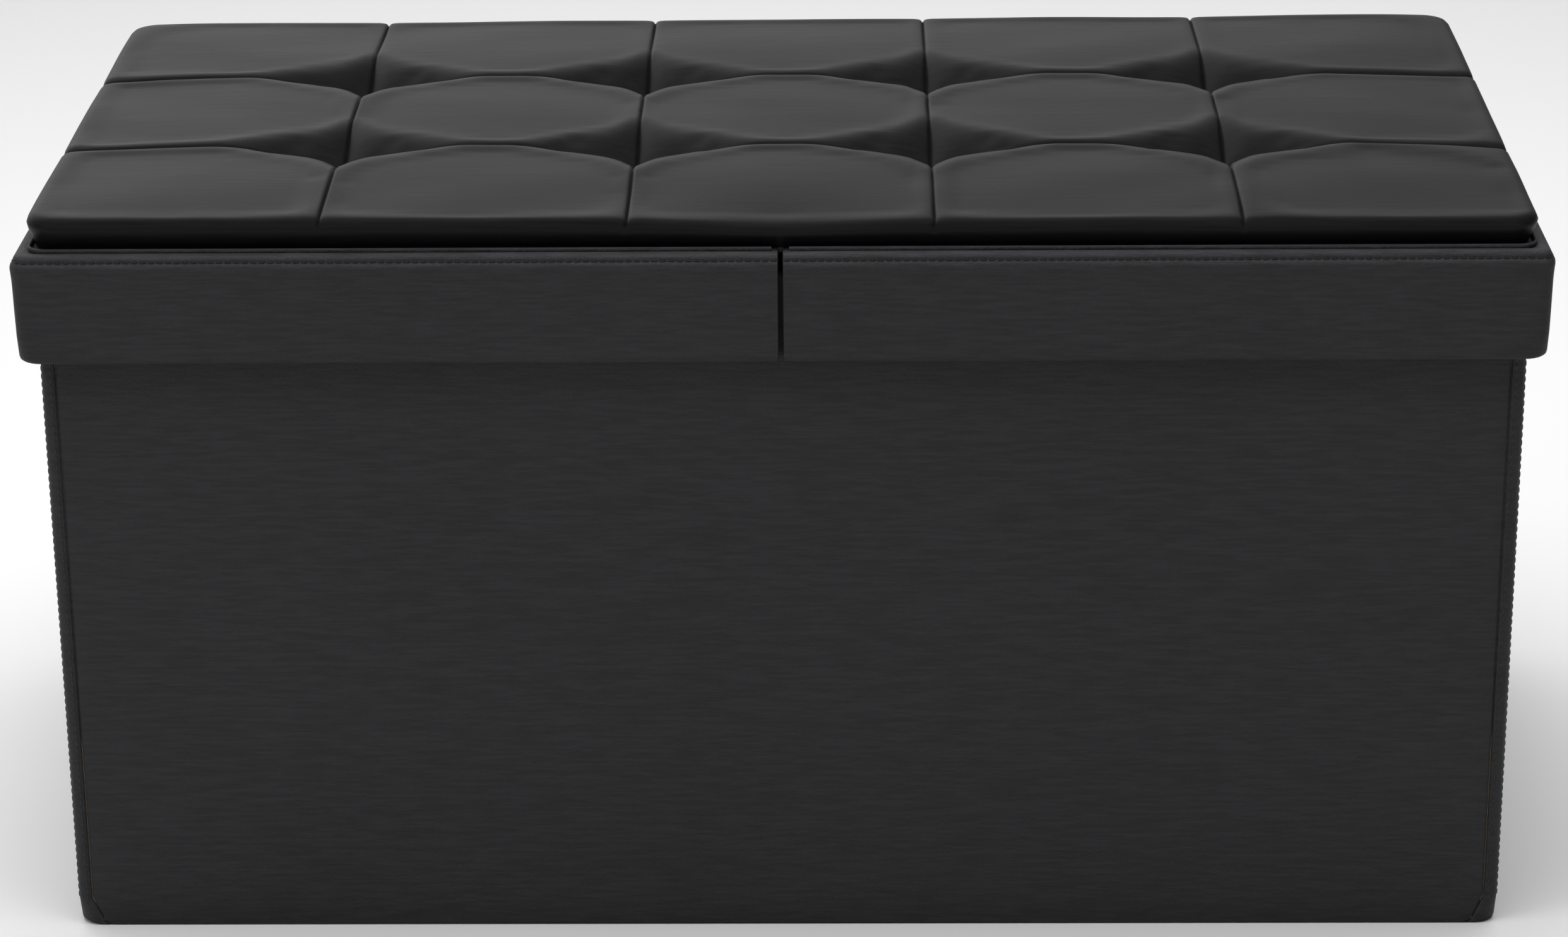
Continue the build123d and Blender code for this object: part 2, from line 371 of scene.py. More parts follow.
def lining_finish(colours):
    """Non-woven fabric with rows of small welded dots over matted fibres."""
    made = Finish("non_woven_lining")
    dots = made.span(made.cells(420.0), 0.18, 0.34)
    fibres = made.noise(900.0, 5.0, 0.7)
    made.feed(
        Base_Color=made.shades(fibres * 0.5 + dots * 0.5, colours.lining, 0.6, 1.5),
        Roughness=0.78 + fibres * 0.2,
    )
    made.shader.inputs["Sheen Weight"].default_value = 0.25
    made.relief(dots * 0.6 + fibres * 0.4, 0.35 * MM)
    return made.material


def board_finish(colours):
    """Pressed fibre board."""
    made = Finish("fibre_board")
    fibres = made.noise(500.0, 6.0, 0.7)
    flecks = made.span(made.cells(260.0), 0.0, 0.5)
    made.feed(
        Base_Color=made.shades(fibres * 0.7 + flecks * 0.3, colours.board, 0.62, 1.3),
        Roughness=0.62 + fibres * 0.25,
    )
    made.relief(fibres, 0.3 * MM)
    return made.material


def webbing_finish(colours):
    """Ribbed ribbon, woven across its length."""
    made = Finish("ribbed_webbing")
    ribs = made.add(
        "ShaderNodeTexWave", {"bands_direction": "Y"}, {"Vector": made.place, "Scale": 210.0}
    ).value("Fac")
    picks = made.add(
        "ShaderNodeTexWave", {"bands_direction": "X"}, {"Vector": made.place, "Scale": 320.0}
    ).value("Fac")
    weave = ribs * 0.7 + picks * 0.3
    made.feed(
        Base_Color=made.shades(weave, colours.webbing, 0.5, 1.7),
        Roughness=0.66 + weave * 0.2,
    )
    made.relief(weave, 0.3 * MM)
    return made.material


def steel_finish(colours):
    """Drawn and zinc-coated wire."""
    made = Finish("zinc_wire")
    drawn = made.noise(1.0, 4.0, 0.6, made.scaled(300.0, 2600.0, 2600.0))
    made.feed(
        Base_Color=made.shades(drawn, colours.steel, 0.75, 1.15),
        Roughness=0.26 + drawn * 0.22,
    )
    made.shader.inputs["Metallic"].default_value = 1.0
    made.relief(drawn, 0.05 * MM)
    return made.material


def plastic_finish(colours):
    """Moulded washer plastic."""
    made = Finish("moulded_plastic")
    texture = made.noise(1200.0, 3.0)
    made.feed(
        Base_Color=made.shades(texture, colours.plastic, 0.85, 1.1),
        Roughness=0.45 + texture * 0.15,
    )
    made.relief(texture, 0.08 * MM)
    return made.material


def finish_named(name):
    """A material made once and shared by every piece that needs it."""
    makers = {
        "smooth_leather": leather_finish,
        "grained_leather": grained_finish,
        "sewing_thread": thread_finish,
        "non_woven_lining": lining_finish,
        "fibre_board": board_finish,
        "ribbed_webbing": webbing_finish,
        "zinc_wire": steel_finish,
        "moulded_plastic": plastic_finish,
    }
    return bpy.data.materials.get(name) or makers[name](bpy.context.scene.bench_finishes)


# ------------------------------------------------------------------ mesh helpers
def new_piece(name, points, faces, finish):
    mesh = bpy.data.meshes.new(name)
    mesh.from_pydata([tuple(p) for p in points], [], faces)
    mesh.validate()
    mesh.polygons.foreach_set("use_smooth", [True] * len(mesh.polygons))
    mesh.materials.append(finish_named(finish))
    piece = bpy.data.objects.new(name, mesh)
    bpy.context.scene.collection.objects.link(piece)
    return piece


def outward(piece):
    """Merges doubles and turns every face outwards."""
    work = bmesh.new()
    work.from_mesh(piece.data)
    bmesh.ops.remove_doubles(work, verts=work.verts, dist=1e-6)
    bmesh.ops.recalc_face_normals(work, faces=work.faces)
    work.to_mesh(piece.data)
    work.free()
    return piece


def sharpen(piece, degrees):
    """Marks as sharp the edges that turn by more than the angle."""
    piece.data.set_sharp_from_angle(angle=math.radians(degrees))
    return piece


def net_faces(rows, columns):
    """Quads over a grid of points laid out row by row."""
    faces = []
    for i in range(rows - 1):
        below, above = i * columns, (i + 1) * columns
        for j in range(columns - 1):
            faces.append((below + j, below + j + 1, above + j + 1, above + j))
    return faces


def swept(name, stations, section, place, finish):
    """A closed tube: section is a loop of (outward, height) pairs, put at a station by place."""
    rings = [[place(station, n, z) for n, z in section] for station in stations]
    count = len(section)
    points = [p for ring in rings for p in ring]
    faces = []
    for i in range(len(stations) - 1):
        for j in range(count):
            k = (j + 1) % count
            faces.append((i * count + j, i * count + k, (i + 1) * count + k, (i + 1) * count + j))
    faces.append(tuple(range(count)))
    faces.append(tuple((len(stations) - 1) * count + j for j in range(count)))
    return outward(new_piece(name, points, faces, finish))


def steps(start, end, count):
    return [start + (end - start) * i / (count - 1) for i in range(count)]


def ride_as(piece, body, slot, *replaced):
    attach(piece, body)
    if replaced:
        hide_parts(*replaced)
    return piece


# ------------------------------------------------------------------ quilted pad
def seam_lines(seams, half, spacing):
    """Grid lines from -half to half: even in the panels, close together beside each seam."""
    near = [0.0, 0.4 * MM, 0.9 * MM, 1.6 * MM, 2.6 * MM]
    lines = set()
    bounds = [-half, *seams, half]
    for low, high in zip(bounds, bounds[1:]):
        inner_low = low + (near[-1] if low != -half else 0.0)
        inner_high = high - (near[-1] if high != half else 0.0)
        count = max(2, round((inner_high - inner_low) / spacing) + 1)
        lines.update(round(v, 7) for v in np.linspace(inner_low, inner_high, count))
    for seam in seams:
        lines.update(round(seam + sign * offset, 7) for offset in near for sign in (-1, 1))
    return sorted(lines)


def nearest(values, seams):
    return np.min([np.abs(values - s) for s in seams], axis=0)


def smooth(share):
    share = np.clip(share, 0, 1)
    return share * share * (3 - 2 * share)


def pad_height(x, y, sizes, cross_seams, long_seams):
    """Height of the quilted top over the lid board, at arrays of places in plan.

    Each seam is a narrow groove between tufts that widens into a funnel at a tuft. The panels
    swell a little between the seams, and the whole top falls towards its rim."""
    rim_reach, funnel_x, funnel_y, funnel_growth = 95 * MM, 66 * MM, 46 * MM, 32 * MM
    long_groove, cross_groove, crease_width, crease_depth = 7 * MM, 5 * MM, 0.75 * MM, 0.95 * MM
    back_lift, twist, swell_height, slack_height = 2.0 * MM, 1.2 * MM, 0.9 * MM, 0.3 * MM
    dx, dy = nearest(x, cross_seams), nearest(y, long_seams)
    end_fall = np.clip(1 - (PAD_X - np.abs(x)) / rim_reach, 0, 1) ** 1.6
    side_fall = np.clip(1 - (PAD_Y - np.abs(y)) / rim_reach, 0, 1) ** 1.6
    level = sizes.crown - sizes.rim_fall * (end_fall**3 + side_fall**3) ** (1 / 3)
    level = level + back_lift * y / PAD_Y + twist * (x / PAD_X) * (y / PAD_Y)
    deep = (sizes.tuft_drop - (sizes.crown - level)) * 2 ** (-1 / 3)
    pull_x = 1 - smooth(dx / funnel_x)
    pull_y = 1 - smooth(dy / funnel_y)
    long_drop = sizes.long_seam_drop + (deep - sizes.long_seam_drop) * pull_x
    cross_drop = sizes.cross_seam_drop + (deep - sizes.cross_seam_drop) * pull_y
    long_reach = long_groove + funnel_growth * pull_x**0.7
    cross_reach = cross_groove + funnel_growth * pull_y**0.7
    long_valley = long_drop * np.clip(1 - dy / long_reach, 0, 1) ** 2.2
    cross_valley = cross_drop * np.clip(1 - dx / cross_reach, 0, 1) ** 2.2
    valley = (long_valley**3 + cross_valley**3) ** (1 / 3)
    crease = np.exp(-((np.minimum(dx, dy) / crease_width) ** 2))
    swell = swell_height * np.clip(dx / (60 * MM), 0, 1) ** 0.8 * np.clip(dy / (50 * MM), 0, 1) ** 0.8
    edge = np.clip(1 - (PAD_Y + y) / (60 * MM), 0, 1) ** 1.7
    fold = sizes.fold_dip * edge * np.exp(-((x / (44 * MM)) ** 2))
    slack = np.sin(x * 31 + 2 * np.sin(y * 23)) * np.cos(y * 37 + 1.3 * np.sin(x * 17))
    return level + swell - valley - crease_depth * crease - fold + slack_height * slack


def rim_profile(reach, sizes):
    """Plan distance and height share at a distance along the sheet from the corner's centre.
    The rim rounds over, and the side below it leans in towards its foot."""
    flat = sizes.corner_radius - sizes.edge_radius
    turn = math.pi / 2 + sizes.side_lean
    angle = np.clip((reach - flat) / sizes.edge_radius, 0, turn)
    past = np.clip(reach - flat - sizes.edge_radius * turn, 0, None)
    plan = np.minimum(reach, flat) + sizes.edge_radius * np.sin(angle)
    plan = plan - past * math.sin(sizes.side_lean)
    fall = sizes.edge_radius * (1 - np.cos(angle)) + past * math.cos(sizes.side_lean)
    return plan, 1 - np.clip(fall / rim_height(sizes), 0, 1)


def rim_height(sizes):
    return sizes.crown - sizes.rim_fall - PAD_FOOT


def pad_net(sizes):
    """Points of the whole quilted top, row by row, wrapped down over the rim."""
    cross_seams = [LID_X * 2 * k for k in (-0.3, -0.1, 0.1, 0.3)]
    long_seams = [-LID_Y / 3, LID_Y / 3]
    flat = sizes.corner_radius - sizes.edge_radius
    turn = math.pi / 2 + sizes.side_lean
    side = rim_height(sizes) - sizes.edge_radius * (1 - math.cos(turn))
    wrap = flat + sizes.edge_radius * turn + side / math.cos(sizes.side_lean)
    core_x, core_y = PAD_X + sizes.end_bulge - sizes.corner_radius, PAD_Y - sizes.corner_radius
    spacing = 2.7 * MM
    xs = np.array(sorted({*seam_lines(cross_seams, core_x + wrap, spacing), 0.0}))
    ys = np.array(seam_lines(long_seams, core_y + wrap, spacing))
    sheet_x, sheet_y = np.meshgrid(xs, ys, indexing="ij")
    over_x = np.clip(np.abs(sheet_x) - core_x, 0, None)
    over_y = np.clip(np.abs(sheet_y) - core_y, 0, None)
    reach = np.maximum(np.maximum(over_x, over_y), 1e-12)
    share_x, share_y = over_x / reach, over_y / reach
    plan, level = rim_profile(reach, sizes)
    past_x = plan * share_x * np.sqrt(1 - share_y**2 / 2)
    past_y = plan * share_y * np.sqrt(1 - share_x**2 / 2)
    x = np.sign(sheet_x) * (np.minimum(np.abs(sheet_x), core_x) + past_x)
    y = np.sign(sheet_y) * (np.minimum(np.abs(sheet_y), core_y) + past_y)
    inside = np.maximum(over_x, over_y) <= 0
    height = pad_height(x, y, sizes, cross_seams, long_seams)
    z = LID_TOP + PAD_FOOT + (height - PAD_FOOT) * np.where(inside, 1.0, level)
    return np.stack([x, y, z], axis=-1)


def thinned(count, every=3):
    """Every third index, with the last one."""
    return sorted({*range(0, count, every), count - 1})


def spread(values, kept, count):
    """Fills in the rows of an array between the kept ones."""
    flat = values.reshape(len(kept), -1)
    filled = [np.interp(np.arange(count), kept, column) for column in flat.T]
    return np.array(filled).T.reshape(count, *values.shape[1:])


def puff(net):
    """Swells the quilted top as cloth under a light pressure, held at its rim and its seams. The
    cloth is a thinned copy of the net, and its small moves are spread over the whole net."""
    rows, columns = thinned(net.shape[0]), thinned(net.shape[1])
    coarse = net[np.ix_(rows, columns)]
    trial = new_piece(
        "pad_trial", coarse.reshape(-1, 3), net_faces(len(rows), len(columns)), "smooth_leather"
    )
    held = coarse[..., 2].reshape(-1) < LID_TOP + 14.5 * MM
    hold = trial.vertex_groups.new(name="hold")
    hold.add([int(i) for i in np.flatnonzero(held)], 1.0, "REPLACE")
    cloth = trial.modifiers.new("cloth", "CLOTH")
    manner = {
        "quality": 6,
        "mass": 0.3,
        "tension_stiffness": 20,
        "compression_stiffness": 20,
        "shear_stiffness": 8,
        "bending_stiffness": 4,
        "use_pressure": True,
        "uniform_pressure_force": 1.2,
        "shrink_min": -0.004,
        "vertex_group_mass": "hold",
    }
    for setting, value in manner.items():
        setattr(cloth.settings, setting, value)
    cloth.settings.effector_weights.gravity = 0.0
    cloth.collision_settings.use_collision = False
    frames = 12
    cloth.point_cache.frame_start, cloth.point_cache.frame_end = 1, frames
    for number in range(1, frames + 1):
        bpy.context.scene.frame_set(number)
    settled = trial.evaluated_get(bpy.context.evaluated_depsgraph_get()).to_mesh()
    moved = np.empty(len(settled.vertices) * 3)
    settled.vertices.foreach_get("co", moved)
    bpy.data.objects.remove(trial)
    bpy.context.scene.frame_set(1)
    change = moved.reshape(coarse.shape) - coarse
    size = np.maximum(np.linalg.norm(change, axis=-1, keepdims=True), 1e-12)
    cap = 1.3 * MM
    change = change * cap * np.tanh(size / cap) / size
    change = spread(change, rows, net.shape[0])
    change = spread(change.swapaxes(0, 1), columns, net.shape[1]).swapaxes(0, 1)
    return net + change


def pad_half(name, net):
    """One half of the pad: the quilted top closed by a flat underside and a face at the fold."""
    rows, columns = net.shape[:2]
    points = list(net.reshape(-1, 3))
    faces = net_faces(rows, columns)
    fold_first = abs(net[0, 0, 0]) < abs(net[-1, 0, 0])
    fold_row = 0 if fold_first else rows - 1
    fold_face = [fold_row * columns + j for j in range(columns)]
    faces.append(tuple(fold_face))
    loop = [i * columns for i in range(rows)] + [(rows - 1) * columns + j for j in range(1, columns)]
    loop += [i * columns + columns - 1 for i in range(rows - 2, -1, -1)]
    loop += [*range(columns - 2, 0, -1)]
    inner = {*fold_face[1:-1]}
    faces.append(tuple(i for i in loop if i not in inner))
    return sharpen(outward(new_piece(name, points, faces, "smooth_leather")), 60)


class BENCH_OT_quilted_pad(bpy.types.Operator):
    """Make the quilted and tufted top, one piece for each half of the lid"""

    bl_idname = "bench.quilted_pad"
    bl_label = "Quilted Pad"

    def execute(self, context):
        net = pad_net(context.scene.bench_lid)
        net = puff(net)
        middle = int(np.argmin(np.abs(net[:, 0, 0])))
        net[middle, :, 0] = 0.0
        left = pad_half("quilted_top_left", net[: middle + 1])
        right = pad_half("quilted_top_right", net[middle:])
        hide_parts("left_top_cover", "left_foam_pad", "fold_foam")
        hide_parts("right_top_cover", "right_foam_pad", "fold_cover")
        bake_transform(left)
        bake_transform(right)
        return {"FINISHED"}


# ------------------------------------------------------------------ outlines of lid and box
def corner_growth(height, radius):
    """How far a rounded lower corner is cut back at a height over the piece's foot."""
    depth = np.clip(radius - height, 0.0, radius)
    return radius - math.sqrt(radius**2 - depth**2)


def rim_point(station, half_x, half_y, radius):
    """A place on a rounded rectangle. A station is a side with a share of its straight part,
    or a corner's two signs with a share of its quarter turn."""
    kind, share = station
    radius = max(radius, 0.3 * MM)
    flat_x, flat_y = half_x - radius, half_y - radius
    if kind in ENDS:
        return share * flat_x, ENDS[kind] * half_y
    if kind in HANDS:
        return HANDS[kind] * half_x, share * flat_y
    sign_x, sign_y = kind
    angle = share * math.pi / 2
    return sign_x * (flat_x + radius * math.sin(angle)), sign_y * (flat_y + radius * math.cos(angle))


def skirt_section():
    """The loop of the skirt's cover: ledge, stitched edge, puckered band, face, hem and lining."""
    foot = SKIRT_DROP / MM
    loop = [(-24.0, 0.2), (-9.6, 0.3), (-8.4, 0.35), (-7.2, 0.8), (-5.6, 1.1), (-4.0, 1.1)]
    loop += [(-2.7, 0.85), (-1.7, 0.35), (-1.05, -0.4), (-0.8, -1.2), (-0.85, -1.9), (-0.6, -2.5)]
    loop += [(0.1, -3.0), (0.7, -3.8), (1.0, -4.9), (1.05, -6.4), (0.85, -8.6), (0.6, -12.0)]
    loop += [(0.45, -17.0), (0.3, -foot / 2), (0.0, -0.75 * foot), (-0.3, 3.4 - foot)]
    loop += [(-0.4, 1.6 - foot), (-1.0, 0.5 - foot), (-2.0, 0.1 - foot), (-3.4, -foot)]
    loop += [(-5.2, -foot), (-6.4, 0.5 - foot), (-6.9, 1.6 - foot), (-7.0, -foot / 2)]
    loop += [(-7.0, -13.0), (-7.0, -1.0), (-24.0, -1.0)]
    return [(n * MM, z * MM) for n, z in loop]


def skirt_place(sign, sizes):
    def place(station, n, z):
        radius = 6 * MM + 0.9 * corner_growth(SKIRT_DROP + z, sizes.skirt_foot_radius)
        kind, share, pinch = station
        x, y = rim_point((kind, share), LID_X + n, LID_Y + n, radius + n)
        if pinch is not None:
            x = pinch
        return sign * x, y, LID_TOP + z

    return place


def skirt_stations(straight=46):
    """From the slit along the front, round the end and back along the rear to the slit."""
    inner = [SLIT_HALF, SLIT_HALF + 0.3 * MM, SLIT_HALF + 0.9 * MM, SLIT_HALF + 2.0 * MM]
    front = [("front", 0.0, x) for x in inner]
    front += [("front", s, None) for s in steps(0.02, 1.0, straight)]
    turn = steps(0.0, 1.0, 8)
    first = [((1.0, -1.0), s, None) for s in turn[1:]]
    end = [("right", s, None) for s in steps(-1.0, 1.0, straight)[1:]]
    second = [((1.0, 1.0), s, None) for s in turn[::-1][1:]]
    back = [("back", s, None) for s in steps(1.0, 0.02, straight)[1:]]
    return front + first + end + second + back + [("back", 0.0, x) for x in inner[::-1]]


def shrink_ends(rings_of, stations):
    """Wraps a place function so that the section closes in a little at both ends."""
    first, last = stations[0], stations[-1]
    middle, narrowed = -3.6 * MM, 0.72

    def place(station, n, z):
        if station in (first, last):
            n = middle + (n - middle) * narrowed
            z = z * 0.99 - 0.4 * MM
        return rings_of(station, n, z)

    return place


class BENCH_OT_lid_skirt(bpy.types.Operator):
    """Make the leather skirt of each half of the lid, with its rolled top edge"""

    bl_idname = "bench.lid_skirt"
    bl_label = "Lid Skirt"

    def execute(self, context):
        sizes = context.scene.bench_lid
        stations = skirt_stations()
        for hand, sign in HANDS.items():
            place = shrink_ends(skirt_place(sign, sizes), stations)
            piece = swept(f"skirt_leather_{hand}", stations, skirt_section(), place, "grained_leather")
            sharpen(piece, 60)
            ride_as(piece, f"lid_{hand}", "faux_leather", f"{hand}_skirt_cover")
        return {"FINISHED"}


class BENCH_OT_edge_welt(bpy.types.Operator):
    """Make the thin folded lip where the top is sewn to the skirt"""

    bl_idname = "bench.edge_welt"
    bl_label = "Edge Welt"

    def execute(self, context):
        turns = np.linspace(0, 2 * math.pi, 11)[:-1]
        half_width, half_height = 0.9 * MM, 1.5 * MM
        lip = [(half_width * math.cos(a), half_height * math.sin(a)) for a in turns]
        inset, from_slit = 7.4 * MM, 3.2 * MM
        stations = skirt_stations()
        for hand, sign in HANDS.items():

            def place(station, n, z, sign=sign):
                kind, share, pinch = station
                x, y = rim_point((kind, share), LID_X - inset + n, LID_Y - inset + n, 9 * MM + n)
                if pinch is not None:
                    x = pinch + from_slit
                return sign * x, y, LID_TOP + half_height + z

            piece = swept(f"edge_lip_{hand}", stations, lip, place, "grained_leather")
            ride_as(piece, f"lid_{hand}", "faux_leather", f"{hand}_edge_welt")
        return {"FINISHED"}


# ------------------------------------------------------------------ box covers
def wall_section():
    """The loop of a wall's cover: foot flap, outer face, top flap, and back inside the leather."""
    edge, skin = 2.0 * MM, 1.0 * MM
    top = WALL_TOP
    outer = [(-WALL_THICK, 0.0), (-edge, 0.0), (-0.6 * edge, 0.1 * edge), (-0.2 * edge, 0.35 * edge)]
    outer += [(0.0, z) for z in steps(edge, top - edge, 26)]
    outer += [(-0.2 * edge, top - 0.35 * edge), (-0.6 * edge, top - 0.1 * edge), (-edge, top)]
    outer += [(-WALL_THICK, top)]
    inner = [(-WALL_THICK, top - skin), (-edge, top - skin), (-skin, top - edge)]
    inner += [(-skin, edge), (-edge, skin), (-WALL_THICK, skin)]
    return outer + inner


def box_place(sizes, hollow=None):
    """Puts a section point on the box; hollow gives how far the face sinks there."""

    def place(station, n, z):
        kind, share, sink = station
        radius = sizes.corner_radius + 0.9 * corner_growth(z, sizes.foot_radius)
        face = max(0.0, 1.0 + n / WALL_THICK)
        depth = n - sink * face**6
        if hollow:
            depth -= hollow(kind, share, z) * face**6
        x, y = rim_point((kind, share), BOX_X + depth, BOX_Y + depth, radius + depth)
        return x, y, z

    return place


def bowing(kind, share, z):
    """The faces swell a little between their edges, unevenly."""
    if not isinstance(kind, str):
        return 0.0
    lift = math.cos(share * math.pi / 2) * math.sin(math.pi * z / WALL_TOP)
    ripple = math.sin(share * 9.0 + 2.0) * math.sin(z * 21.0) * 0.18
    return -(0.55 * lift + 0.5 * ripple * lift) * MM


def edge_shares(seam_width, length):
    """Shares of a straight side with close steps at both ends and how far each sinks."""
    inner = [(0.0, 1.5 * MM), (0.35 * MM, 0.75 * MM), (0.9 * MM, 0.25 * MM), (1.8 * MM, 0.0)]
    start = [(-length + seam_width + gap, sink) for gap, sink in inner]
    middle = [(v, 0.0) for v in steps(-length + seam_width + 8 * MM, length - seam_width - 8 * MM, 40)]
    end = [(-v, sink) for v, sink in start[::-1]]
    return start + middle + end


class BENCH_OT_box_covers(bpy.types.Operator):
    """Make the four leather covers of the box walls"""

    bl_idname = "bench.box_covers"
    bl_label = "Box Covers"

    def execute(self, context):
        sizes = context.scene.bench_box
        for side in ("front", "back", "left", "right"):
            half = (BOX_X if side in ENDS else BOX_Y) - sizes.corner_radius
            shares = edge_shares(BAND - sizes.corner_radius, half)
            if side in HANDS:
                beside = ((0.6 * MM, 1.0 * MM), (1.6 * MM, 0.3 * MM))
                crease = [(sign * v, sink) for v, sink in beside for sign in (-1, 1)]
                shares = sorted(shares + crease + [(0.0, 1.5 * MM)])
            stations = [(side, v / half, sink) for v, sink in shares]
            place = box_place(sizes, bowing)
            piece = swept(f"leather_wall_{side}", stations, wall_section(), place, "grained_leather")
            sharpen(piece, 50)
            ride_as(piece, "box", "faux_leather", f"{side}_wall_cover")
        return {"FINISHED"}


class BENCH_OT_corner_strips(bpy.types.Operator):
    """Make the four stitched corner strips of the box"""

    bl_idname = "bench.corner_strips"
    bl_label = "Corner Strips"

    def execute(self, context):
        sizes = context.scene.bench_box
        straight = BAND - sizes.corner_radius
        flat_x, flat_y = BOX_X - sizes.corner_radius, BOX_Y - sizes.corner_radius
        on_long = [(0.0, 1.5), (0.3, 0.8), (0.8, 0.3), (1.5, 0.0), (2.5, 0.0)]
        for end, sign_y in ENDS.items():
            for hand, sign_x in HANDS.items():
                first = [
                    (end, sign_x * (flat_x - straight + v * MM) / flat_x, sink * MM)
                    for v, sink in on_long
                ]
                turn = [((sign_x, sign_y), s, 0.0) for s in steps(0.0, 1.0, 9)]
                last = [
                    (hand, sign_y * (flat_y - straight + v * MM) / flat_y, sink * MM)
                    for v, sink in on_long[::-1]
                ]
                piece = swept(
                    f"corner_band_{end}_{hand}",
                    first[:-1] + turn + last[1:],
                    wall_section(),
                    box_place(sizes),
                    "grained_leather",
                )
                sharpen(piece, 50)
                ride_as(piece, "box", "faux_leather", f"{end}_{hand}_corner_strip")
        return {"FINISHED"}


# ------------------------------------------------------------------ stitching
def stitch_tree():
    """Geometry nodes: a row of short thread stitches along each line of the mesh."""
    tree = bpy.data.node_groups.get("stitch_row")
    if tree:
        return tree
    tree = bpy.data.node_groups.new("stitch_row", "GeometryNodeTree")
    taken = {"Geometry": "Geometry", "Pitch": "Float", "Thread radius": "Float", "Thread": "Material"}
    for name, kind in taken.items():
        tree.interface.new_socket(name, in_out="INPUT", socket_type="NodeSocket" + kind)
    tree.interface.new_socket("Geometry", in_out="OUTPUT", socket_type="NodeSocketGeometry")

    def add(kind, **settings):
        node = tree.nodes.new(kind)
        for setting, value in settings.items():
            setattr(node, setting, value)
        return node

    given, result = add("NodeGroupInput"), add("NodeGroupOutput")
    to_curve = add("GeometryNodeMeshToCurve")
    resample = add("GeometryNodeResampleCurve", mode="LENGTH")
    tangent = add("GeometryNodeInputTangent")
    align = add("FunctionNodeAlignRotationToVector", axis="Z")
    stitch = add("GeometryNodeMeshUVSphere")
    stitch.inputs["Segments"].default_value, stitch.inputs["Rings"].default_value = 6, 5
    stitch.inputs["Radius"].default_value = 1.0
    size = add("ShaderNodeCombineXYZ")
    length = add("ShaderNodeMath", operation="MULTIPLY")
    length.inputs[1].default_value = 0.4
    place = add("GeometryNodeInstanceOnPoints")
    shade = add("GeometryNodeSetShadeSmooth")
    real = add("GeometryNodeRealizeInstances")
    paint = add("GeometryNodeSetMaterial")
    wires = (
        (given, "Geometry", to_curve, "Mesh"),
        (to_curve, "Curve", resample, "Curve"),
        (given, "Pitch", resample, "Length"),
        (given, "Pitch", length, 0),
        (given, "Thread radius", size, "X"),
        (given, "Thread radius", size, "Y"),
        (length, 0, size, "Z"),
        (tangent, 0, align, "Vector"),
        (resample, "Curve", place, "Points"),
        (stitch, "Mesh", shade, "Geometry"),
        (shade, "Geometry", place, "Instance"),
        (align, "Rotation", place, "Rotation"),
        (size, "Vector", place, "Scale"),
        (place, "Instances", real, "Geometry"),
        (real, "Geometry", paint, "Geometry"),
        (given, "Thread", paint, "Material"),
        (paint, "Geometry", result, "Geometry"),
    )
    for source, output, target, socket in wires:
        tree.links.new(source.outputs[output], target.inputs[socket])
    return tree


def stitches(name, lines, sizes, pitch=None):
    """A plain mesh of stitches along lines of points."""
    points, edges = [], []
    for line in lines:
        start = len(points)
        points += [tuple(p) for p in line]
        edges += [(i, i + 1) for i in range(start, len(points) - 1)]
    mesh = bpy.data.meshes.new(name)
    mesh.from_pydata(points, edges, [])
    guide = bpy.data.objects.new(name + "_guide", mesh)
    bpy.context.scene.collection.objects.link(guide)
    tree = stitch_tree()
    modifier = guide.modifiers.new("stitches", "NODES")
    modifier.node_group = tree
    sockets = [item for item in tree.interface.items_tree if item.in_out == "INPUT"]
    given = {item.name: item.identifier for item in sockets}
    modifier[given["Pitch"]] = pitch or sizes.stitch_pitch
    modifier[given["Thread radius"]] = sizes.thread_radius
    modifier[given["Thread"]] = finish_named("sewing_thread")
    depsgraph = bpy.context.evaluated_depsgraph_get()
    made = bpy.data.meshes.new_from_object(guide.evaluated_get(depsgraph), depsgraph=depsgraph)
    made.name = name
    guide.modifiers.remove(modifier)
    bpy.data.objects.remove(guide)
    piece = bpy.data.objects.new(name, made)
    bpy.context.scene.collection.objects.link(piece)
    return piece


class BENCH_OT_stitching(bpy.types.Operator):
    """Sew the skirt's top edge, the corner strips and the side creases"""

    bl_idname = "bench.stitching"
    bl_label = "Stitching"

    def execute(self, context):
        lid, box = context.scene.bench_lid, context.scene.bench_box
        for hand, sign in HANDS.items():
            place = skirt_place(sign, lid)
            line = [place(s, -0.62 * MM, -1.9 * MM) for s in skirt_stations()[3:-3]]
            row = stitches(f"skirt_stitches_{hand}", [line], box)
            ride_as(row, f"lid_{hand}", "twine")
        on_box, on_side, proud = box_place(box), box_place(box, bowing), 0.1 * MM
        heights = steps(16 * MM, WALL_TOP - 2 * MM, 60)
        flat_x, flat_y = BOX_X - box.corner_radius, BOX_Y - box.corner_radius
        away = BAND - box.corner_radius - 2.2 * MM
        lines = []
        for end, sign_y in ENDS.items():
            for hand, sign_x in HANDS.items():
                on_face = (end, sign_x * (flat_x - away) / flat_x, 0.0)
                on_end = (hand, sign_y * (flat_y - away) / flat_y, 0.0)
                lines += [[on_box(station, proud, z) for z in heights] for station in (on_face, on_end)]
        for hand in HANDS:
            for offset in (-4.0 * MM, 4.0 * MM):
                beside_crease = (hand, offset / flat_y, 0.0)
                lines.append([on_side(beside_crease, proud, z) for z in heights])
        row = stitches("box_stitches", lines, box)
        ride_as(row, "box", "twine")
        return {"FINISHED"}


